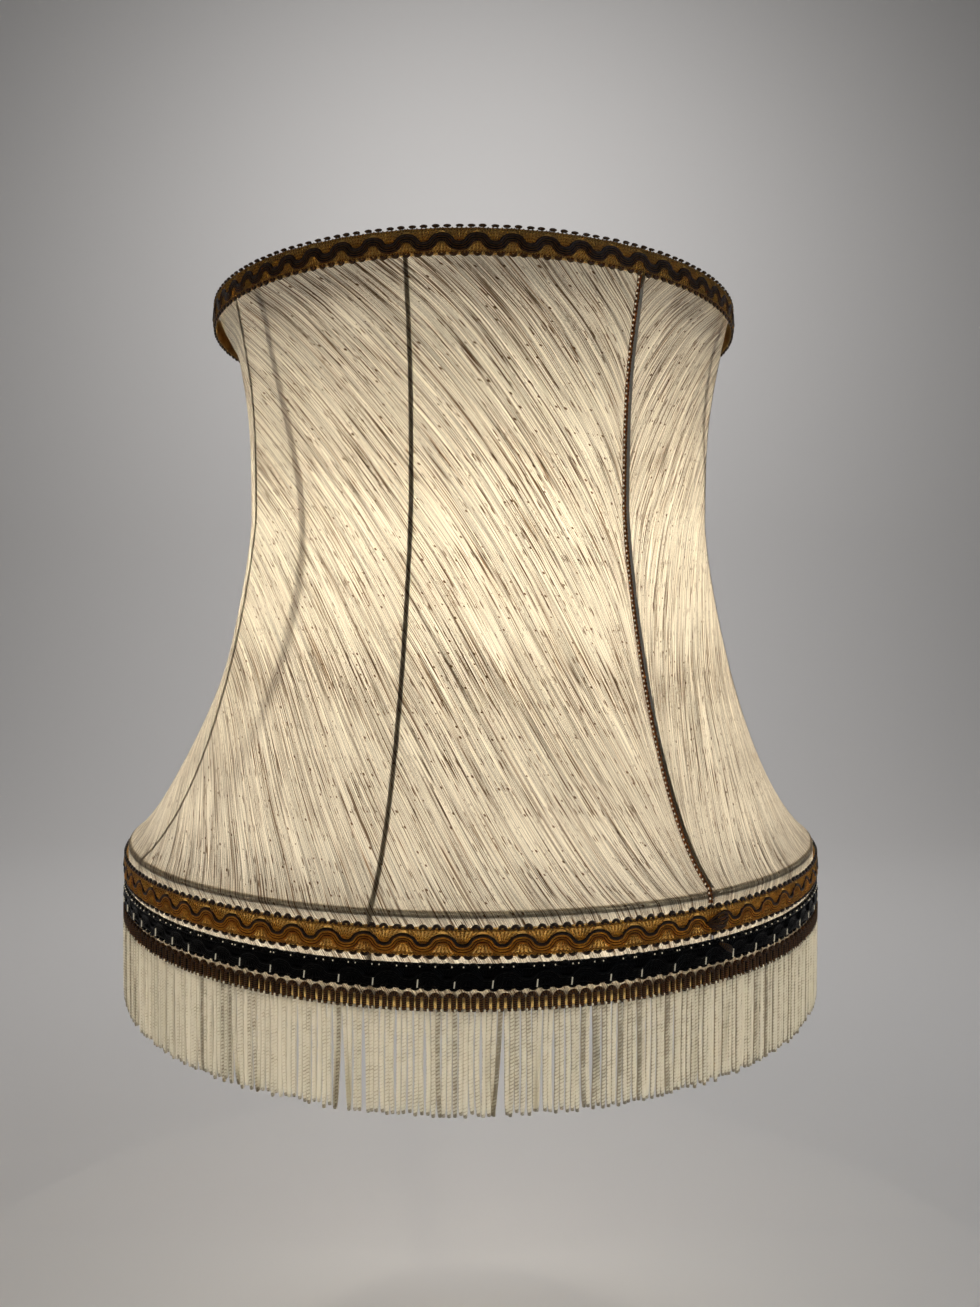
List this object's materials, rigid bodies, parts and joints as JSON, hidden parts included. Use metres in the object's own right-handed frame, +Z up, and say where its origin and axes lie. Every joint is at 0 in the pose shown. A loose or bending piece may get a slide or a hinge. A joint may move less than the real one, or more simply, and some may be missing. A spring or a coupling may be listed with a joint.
{
  "type": "lamp shade",
  "caption": "Bell-shaped slub silk lamp shade on a ribbed wire frame, with scroll braid round the rim and collar, a corded fringe and a fitter that sits on a lampholder.",
  "frame": {"origin": "centre of the fitter ring's underside, where the shade sits on its lampholder", "axes": "+Z up along the shade's axis; -Y to the front; the seam with the braid joins stands 32.5 degrees from the front towards +X"},
  "size_m": [0.4002, 0.4002, 0.3812],
  "materials": {
    "frame_wire": "cream enamelled steel wire",
    "bound_ring": "steel wire wound with cream cotton tape",
    "fitter_metal": "cream enamelled steel",
    "silk": "slub silk on the bias, cream with brown slubs",
    "seam_cord": "narrow twisted cord, brown and gold",
    "gold_gimp": "scroll gimp of old gold and brown viscose cords",
    "black_gimp": "scroll gimp of black viscose cords",
    "header_gimp": "looped gimp heading, brown and gold",
    "fringe_cord": "twisted two-ply cream cords"
  },
  "bodies": {
    "root": {"top_ring": "bound_ring", "shoulder_ring": "bound_ring", "bottom_ring": "bound_ring", "rib_1": "frame_wire", "rib_2": "frame_wire", "rib_3": "frame_wire", "rib_4": "frame_wire", "rib_5": "frame_wire", "rib_6": "frame_wire", "rib_7": "frame_wire", "rib_8": "frame_wire", "collar_strut_1": "frame_wire", "collar_strut_2": "frame_wire", "collar_strut_3": "frame_wire", "collar_strut_4": "frame_wire", "collar_strut_5": "frame_wire", "collar_strut_6": "frame_wire", "collar_strut_7": "frame_wire", "collar_strut_8": "frame_wire", "fitter_ring": "fitter_metal", "fitter_arm_1": "fitter_metal", "fitter_arm_2": "fitter_metal", "fitter_arm_3": "fitter_metal", "cover_left": "silk", "cover_right": "silk", "seam_cord_right": "seam_cord", "seam_cord_left": "seam_cord", "top_braid": "gold_gimp", "gold_braid": "gold_gimp", "gold_braid_join": "gold_gimp", "black_braid": "black_gimp", "black_braid_join": "black_gimp", "fringe_header": "header_gimp", "fringe": "fringe_cord"}
  },
  "joints": []
}
